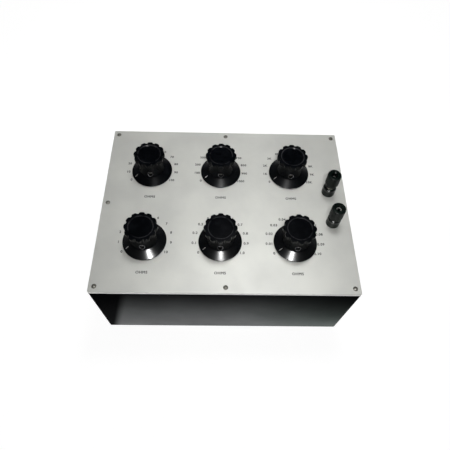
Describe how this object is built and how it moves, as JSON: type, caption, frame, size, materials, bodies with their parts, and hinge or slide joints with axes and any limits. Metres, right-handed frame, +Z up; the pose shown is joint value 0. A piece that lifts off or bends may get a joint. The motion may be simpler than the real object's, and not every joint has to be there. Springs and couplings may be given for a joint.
{
  "type": "decade resistance box",
  "caption": "Bench decade resistance box: black case, light metal panel, skirted rotary dials over stud switches, and screw-cap binding posts with plug sockets.",
  "frame": {"origin": "on the ground at the middle of the case's plan, under the feet", "axes": "+X to the right along the panel, +Y to the back, +Z up out of the panel"},
  "size_m": [0.3026, 0.234, 0.1608],
  "materials": {
    "black_case": "satin black stove enamel",
    "panel_metal": "satin anodised",
    "zinc_steel": "dull plated",
    "rubber": "matt",
    "brass": "machined",
    "laminate_board": "paper laminate",
    "copper_wire": "bare wire",
    "wound_resistor": "varnished winding",
    "knob_black": "polished black phenolic",
    "shaft_steel": "turned",
    "terminal_black": "black phenolic",
    "plated_brass": "nickel plated"
  },
  "bodies": {
    "case": {"case_shell": "black_case", "panel": "panel_metal", "panel_screws": "zinc_steel", "lip_nuts": "zinc_steel", "rubber_feet": "rubber", "foot_screws": "zinc_steel", "foot_nuts": "zinc_steel", "bush_plates": "brass", "bush_nuts": "brass", "deck_pillars": "brass", "pillar_nuts": "brass", "stud_decks": "laminate_board", "stop_pins": "brass", "link_wires": "copper_wire", "contact_studs_tens": "brass", "contact_studs_hundreds": "brass", "contact_studs_thousands": "brass", "contact_studs_units": "brass", "contact_studs_tenths": "brass", "contact_studs_hundredths": "brass", "resistors_tens": "wound_resistor", "resistors_hundreds": "wound_resistor", "resistors_thousands": "wound_resistor", "resistors_units": "wound_resistor", "resistors_tenths": "wound_resistor", "resistors_hundredths": "wound_resistor", "terminal_collars": "terminal_black", "terminal_studs": "plated_brass", "terminal_insulators": "laminate_board", "terminal_nuts": "plated_brass"},
    "dial_tens": {"knob_tens": "knob_black", "grub_screw_tens": "zinc_steel", "shaft_tens": "shaft_steel", "wiper_tens": "brass"},
    "dial_hundreds": {"knob_hundreds": "knob_black", "grub_screw_hundreds": "zinc_steel", "shaft_hundreds": "shaft_steel", "wiper_hundreds": "brass"},
    "dial_thousands": {"knob_thousands": "knob_black", "grub_screw_thousands": "zinc_steel", "shaft_thousands": "shaft_steel", "wiper_thousands": "brass"},
    "dial_units": {"knob_units": "knob_black", "grub_screw_units": "zinc_steel", "shaft_units": "shaft_steel", "wiper_units": "brass"},
    "dial_tenths": {"knob_tenths": "knob_black", "grub_screw_tenths": "zinc_steel", "shaft_tenths": "shaft_steel", "wiper_tenths": "brass"},
    "dial_hundredths": {"knob_hundredths": "knob_black", "grub_screw_hundredths": "zinc_steel", "shaft_hundredths": "shaft_steel", "wiper_hundredths": "brass"},
    "clamp_upper": {"clamp_washer_upper": "plated_brass"},
    "cap_upper": {"terminal_cap_upper": "terminal_black"},
    "clamp_lower": {"clamp_washer_lower": "plated_brass"},
    "cap_lower": {"terminal_cap_lower": "terminal_black"}
  },
  "joints": [
    {"name": "dial_tens_turn", "type": "hinge", "parent": "case", "child": "dial_tens", "pos_m": [-0.0943, 0.04897, 0.1245], "axis": [0, 0, 1], "range_deg": [-250, 0]},
    {"name": "dial_hundreds_turn", "type": "hinge", "parent": "case", "child": "dial_hundreds", "pos_m": [-0.00635, 0.04897, 0.1245], "axis": [0, 0, 1], "range_deg": [-250, 0]},
    {"name": "dial_thousands_turn", "type": "hinge", "parent": "case", "child": "dial_thousands", "pos_m": [0.0816, 0.04897, 0.1245], "axis": [0, 0, 1], "range_deg": [-250, 0]},
    {"name": "dial_units_turn", "type": "hinge", "parent": "case", "child": "dial_units", "pos_m": [-0.0943, -0.05298, 0.1245], "axis": [0, 0, 1], "range_deg": [-250, 0]},
    {"name": "dial_tenths_turn", "type": "hinge", "parent": "case", "child": "dial_tenths", "pos_m": [-0.00635, -0.05298, 0.1245], "axis": [0, 0, 1], "range_deg": [-250, 0]},
    {"name": "dial_hundredths_turn", "type": "hinge", "parent": "case", "child": "dial_hundredths", "pos_m": [0.0816, -0.05298, 0.1245], "axis": [0, 0, 1], "range_deg": [-250, 0]},
    {"name": "cap_upper_lift", "type": "slide", "parent": "case", "child": "clamp_upper", "axis": [0, 0, 1], "range_m": [-0.0035, 0.0025]},
    {"name": "cap_upper_turn", "type": "hinge", "parent": "clamp_upper", "child": "cap_upper", "pos_m": [0.12958, 0.0205, 0.1405], "axis": [0, 0, 1], "range_deg": [-1260, 900]},
    {"name": "cap_lower_lift", "type": "slide", "parent": "case", "child": "clamp_lower", "axis": [0, 0, 1], "range_m": [0, 0.006]},
    {"name": "cap_lower_turn", "type": "hinge", "parent": "clamp_lower", "child": "cap_lower", "pos_m": [0.12958, -0.0245, 0.1405], "axis": [0, 0, 1], "range_deg": [0, 2160]}
  ],
  "couplings": [
    {"joint": "cap_upper_turn", "follows": "cap_upper_lift", "rad_per_m": 6283.2},
    {"joint": "cap_lower_turn", "follows": "cap_lower_lift", "rad_per_m": 6283.2}
  ]
}
